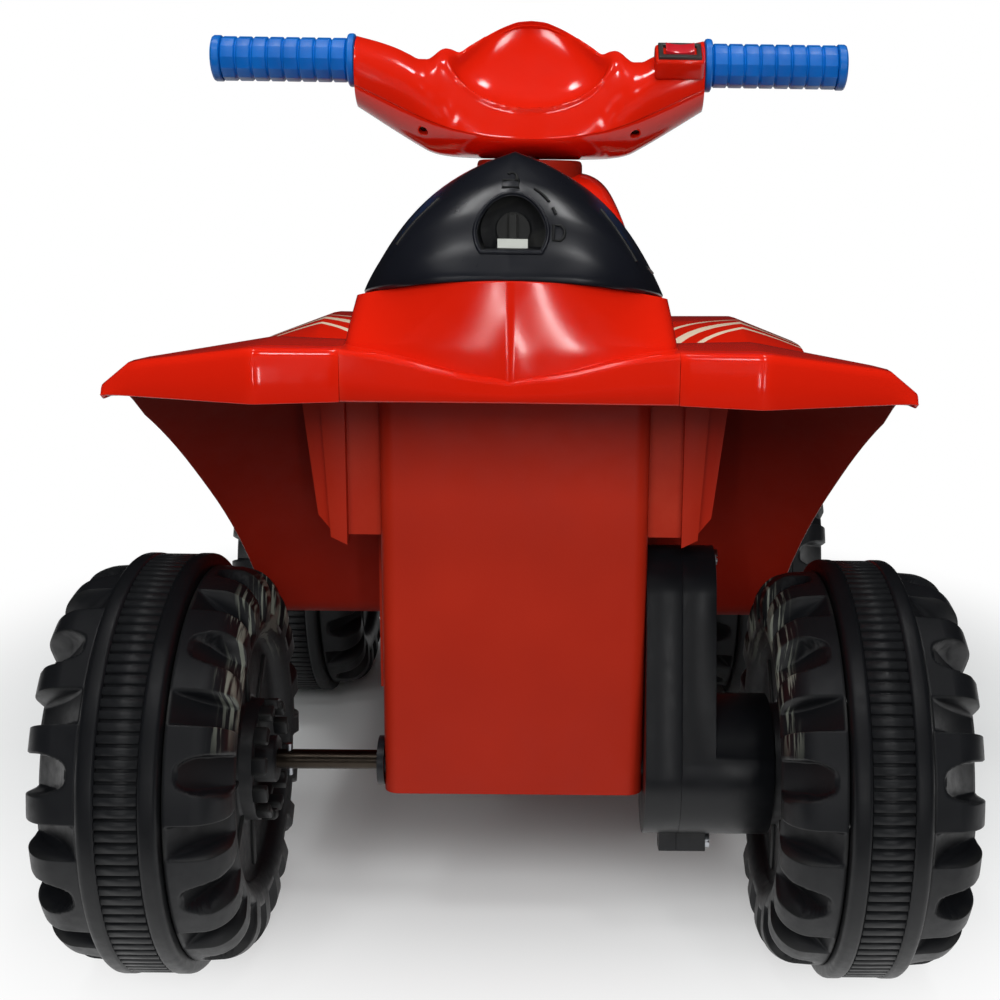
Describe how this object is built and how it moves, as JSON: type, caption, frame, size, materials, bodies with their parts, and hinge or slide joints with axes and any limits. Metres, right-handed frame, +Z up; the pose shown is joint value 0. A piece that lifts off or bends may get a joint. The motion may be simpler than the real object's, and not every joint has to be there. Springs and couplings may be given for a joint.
{
  "type": "kids quad bike",
  "caption": "Small battery ride-on quad with moulded body and fenders, ribbed tyres, steered front wheels, geared rear drive and lift-up locked seat.",
  "frame": {"origin": "centre of the footprint on the ground, under the middle of the overall box", "axes": "+Y forward, +X to the rider's right, +Z up"},
  "size_m": [0.4404, 0.644, 0.503],
  "materials": {
    "gloss_red": "glossy moulded polypropylene",
    "matte_red": "fine-textured moulded polypropylene",
    "seat_black": "satin moulded polypropylene",
    "latch_white": "natural nylon",
    "wheel_black": "blow-moulded polyethylene",
    "band_rubber": "ribbed soft rubber",
    "cap_red": "glossy moulded plastic",
    "gearbox_black": "moulded nylon",
    "steel": "zinc-plated steel",
    "gear_nylon": "moulded nylon",
    "grip_blue": "soft satin plastic",
    "rocker_red": "glossy moulded plastic",
    "battery_grey": "moulded ABS case",
    "lens_clear": "clear moulded plastic"
  },
  "bodies": {
    "chassis": {"centre_body": "gloss_red", "left_fender_panel": "gloss_red", "right_fender_panel": "gloss_red", "fender_screws": "steel", "lower_chassis": "matte_red", "headlights": "lens_clear", "battery": "battery_grey", "motor": "steel", "gear_pins": "steel", "gearbox_inner_half": "gearbox_black", "gearbox_outer_half": "gearbox_black", "gearbox_screws": "steel", "rear_axle": "steel", "axle_bushes": "gearbox_black", "axle_cross_pin": "steel", "axle_push_nuts": "steel", "seat_hinge_pin": "steel"},
    "handlebar": {"steering_column": "steel", "handlebar_tube": "steel", "handlebar_upper_cover": "gloss_red", "handlebar_lower_cover": "gloss_red", "cover_screws": "steel", "right_grip": "grip_blue", "left_grip": "grip_blue", "switch_housing": "gearbox_black"},
    "rocker": {"switch_rocker": "rocker_red"},
    "tie_link": {"tie_plate": "steel"},
    "left_steer": {"left_knuckle": "steel", "left_kingpin_clip": "steel", "left_stub_push_nut": "steel"},
    "right_steer": {"right_knuckle": "steel", "right_kingpin_clip": "steel", "right_stub_push_nut": "steel"},
    "second_stage": {"second_gear": "gear_nylon"},
    "first_stage": {"first_gear": "gear_nylon"},
    "rotor": {"motor_pinion": "gear_nylon"},
    "seat": {"seat": "seat_black", "lock_latch": "latch_white"},
    "lock": {"lock_knob": "seat_black"},
    "front_right_wheel": {"front_right_wheel_outer": "wheel_black", "front_right_wheel_inner": "wheel_black", "front_right_traction_band": "band_rubber", "front_right_hub_cap": "cap_red"},
    "front_left_wheel": {"front_left_wheel_outer": "wheel_black", "front_left_wheel_inner": "wheel_black", "front_left_traction_band": "band_rubber", "front_left_hub_cap": "cap_red"},
    "rear_right_wheel": {"rear_right_wheel_outer": "wheel_black", "rear_right_wheel_inner": "wheel_black", "rear_right_traction_band": "band_rubber", "rear_right_hub_cap": "cap_red", "output_gear": "gear_nylon"},
    "rear_left_wheel": {"rear_left_wheel_outer": "wheel_black", "rear_left_wheel_inner": "wheel_black", "rear_left_traction_band": "band_rubber", "rear_left_hub_cap": "cap_red"}
  },
  "joints": [
    {"name": "steering", "type": "hinge", "parent": "chassis", "child": "handlebar", "pos_m": [0, 0.041, 0.3], "axis": [0, 0, 1], "range_deg": [-22, 22]},
    {"name": "left_kingpin", "type": "hinge", "parent": "chassis", "child": "left_steer", "pos_m": [-0.072, 0.196, 0.14], "axis": [0, 0, 1], "range_deg": [-22, 22]},
    {"name": "right_kingpin", "type": "hinge", "parent": "chassis", "child": "right_steer", "pos_m": [0.072, 0.196, 0.14], "axis": [0, 0, 1], "range_deg": [-22, 22]},
    {"name": "tie_pivot", "type": "hinge", "parent": "left_steer", "child": "tie_link", "pos_m": [-0.072, 0.226, 0.1228], "axis": [0, 0, 1], "range_deg": [-22, 22]},
    {"name": "front_left_spin", "type": "hinge", "parent": "left_steer", "child": "front_left_wheel", "pos_m": [-0.1735, 0.196, 0.106], "axis": [1, 0, 0], "continuous": true},
    {"name": "front_right_spin", "type": "hinge", "parent": "right_steer", "child": "front_right_wheel", "pos_m": [0.1735, 0.196, 0.106], "axis": [1, 0, 0], "continuous": true},
    {"name": "rear_left_spin", "type": "hinge", "parent": "chassis", "child": "rear_left_wheel", "pos_m": [-0.1735, -0.216, 0.106], "axis": [1, 0, 0], "continuous": true},
    {"name": "rear_right_spin", "type": "hinge", "parent": "chassis", "child": "rear_right_wheel", "pos_m": [0.1735, -0.216, 0.106], "axis": [1, 0, 0], "continuous": true},
    {"name": "second_spin", "type": "hinge", "parent": "chassis", "child": "second_stage", "pos_m": [0.08, -0.2101, 0.13948], "axis": [1, 0, 0], "continuous": true},
    {"name": "first_spin", "type": "hinge", "parent": "chassis", "child": "first_stage", "pos_m": [0.08, -0.20541, 0.16607], "axis": [1, 0, 0], "continuous": true},
    {"name": "motor_spin", "type": "hinge", "parent": "chassis", "child": "rotor", "pos_m": [0.08, -0.20072, 0.19266], "axis": [1, 0, 0], "continuous": true},
    {"name": "seat_hinge", "type": "hinge", "parent": "chassis", "child": "seat", "pos_m": [0, -0.04, 0.34268], "axis": [-1, 0, 0], "range_deg": [0, 55]},
    {"name": "lock_turn", "type": "hinge", "parent": "seat", "child": "lock", "pos_m": [0, -0.252, 0.378], "axis": [0, 1, 0], "range_deg": [0, 90]},
    {"name": "rocker_tilt", "type": "hinge", "parent": "handlebar", "child": "rocker", "pos_m": [0.094, 0.02726, 0.48245], "axis": [0, 0.788, 0.6157], "range_deg": [-8, 8]}
  ],
  "couplings": [
    {"joint": "left_kingpin", "follows": "steering", "ratio": 1},
    {"joint": "right_kingpin", "follows": "steering", "ratio": 1},
    {"joint": "tie_pivot", "follows": "steering", "ratio": -1},
    {"joint": "second_spin", "follows": "rear_right_spin", "ratio": -4.6667},
    {"joint": "first_spin", "follows": "rear_right_spin", "ratio": 16.333},
    {"joint": "motor_spin", "follows": "rear_right_spin", "ratio": -57.167}
  ]
}
